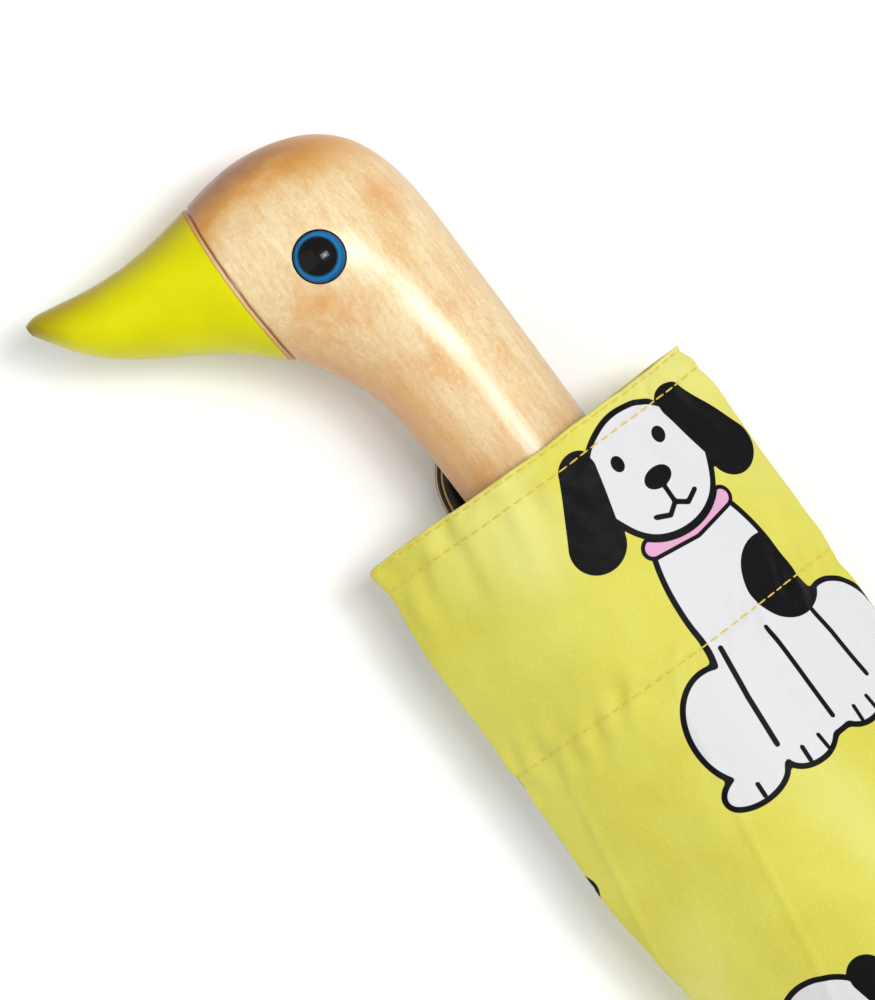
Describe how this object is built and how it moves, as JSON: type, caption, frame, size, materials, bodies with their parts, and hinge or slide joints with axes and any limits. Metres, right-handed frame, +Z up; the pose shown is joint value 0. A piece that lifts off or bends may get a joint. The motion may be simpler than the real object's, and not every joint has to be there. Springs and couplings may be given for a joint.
{
  "type": "folding umbrella with duck-head handle",
  "caption": "Compact folding umbrella with a carved wooden duck-head handle, packed in its printed yellow pull-off fabric sleeve, lying on its side.",
  "frame": {"origin": "on the table, under the shaft axis, half-way along the sleeve", "axes": "+X along the shaft from the handle to the sleeve's closed end, +Y across and away from the beak, +Z up off the table"},
  "size_m": [0.3297, 0.0956, 0.0431],
  "materials": {
    "varnished_wood": "clear gloss lacquer, beak painted yellow",
    "eye_plastic": "clear domed toy eye, blue with a black pupil",
    "black_plastic": "moulded satin",
    "plated_steel": "bright plated",
    "black_steel": "black coated",
    "fibreglass": "pultruded rod, satin",
    "printed_cloth": "yellow satin polyester with printed dogs",
    "loop_cord": "glossy dark brown cord"
  },
  "bodies": {
    "bundle": {"upper_tube": "black_steel", "crown": "black_plastic", "crown_wire": "plated_steel", "runner": "black_plastic", "runner_wire": "plated_steel", "end_cap": "black_plastic", "canopy": "printed_cloth", "tie_strap": "printed_cloth", "snap_stud": "plated_steel", "snap_cap": "plated_steel", "main_rib_1": "black_steel", "stretcher_1": "black_steel", "middle_rib_1": "black_steel", "end_rib_1": "fibreglass", "control_wire_1": "plated_steel", "rib_tip_1": "black_plastic", "main_rib_2": "black_steel", "stretcher_2": "black_steel", "middle_rib_2": "black_steel", "end_rib_2": "fibreglass", "control_wire_2": "plated_steel", "rib_tip_2": "black_plastic", "main_rib_3": "black_steel", "stretcher_3": "black_steel", "middle_rib_3": "black_steel", "end_rib_3": "fibreglass", "control_wire_3": "plated_steel", "rib_tip_3": "black_plastic", "main_rib_4": "black_steel", "stretcher_4": "black_steel", "middle_rib_4": "black_steel", "end_rib_4": "fibreglass", "control_wire_4": "plated_steel", "rib_tip_4": "black_plastic", "main_rib_5": "black_steel", "stretcher_5": "black_steel", "middle_rib_5": "black_steel", "end_rib_5": "fibreglass", "control_wire_5": "plated_steel", "rib_tip_5": "black_plastic", "main_rib_6": "black_steel", "stretcher_6": "black_steel", "middle_rib_6": "black_steel", "end_rib_6": "fibreglass", "control_wire_6": "plated_steel", "rib_tip_6": "black_plastic"},
    "runner_catch": {"runner_catch": "plated_steel"},
    "middle_draw": {"middle_tube": "plated_steel", "middle_catch": "plated_steel"},
    "handle": {"wooden_handle": "varnished_wood", "upper_eye": "eye_plastic", "lower_eye": "eye_plastic", "handle_pin": "plated_steel", "tip_cup": "black_plastic", "loop_clip": "black_steel", "loop_screw": "plated_steel", "hanging_loop": "loop_cord", "lower_tube": "plated_steel", "lower_catch": "plated_steel"},
    "sleeve": {"sleeve": "printed_cloth"}
  },
  "joints": [
    {"name": "sleeve_pull_off", "type": "slide", "parent": "bundle", "child": "sleeve", "axis": [1, 0, 0], "range_m": [0, 0.262]},
    {"name": "middle_tube_draw", "type": "slide", "parent": "bundle", "child": "middle_draw", "axis": [-1, 0, 0], "range_m": [0, 0.109]},
    {"name": "lower_tube_draw", "type": "slide", "parent": "middle_draw", "child": "handle", "axis": [-1, 0, 0], "range_m": [0, 0.098]},
    {"name": "runner_catch_press", "type": "slide", "parent": "bundle", "child": "runner_catch", "axis": [0, -1, 0], "range_m": [0, 0.0011], "stiffness_N_per_m": 2000}
  ]
}
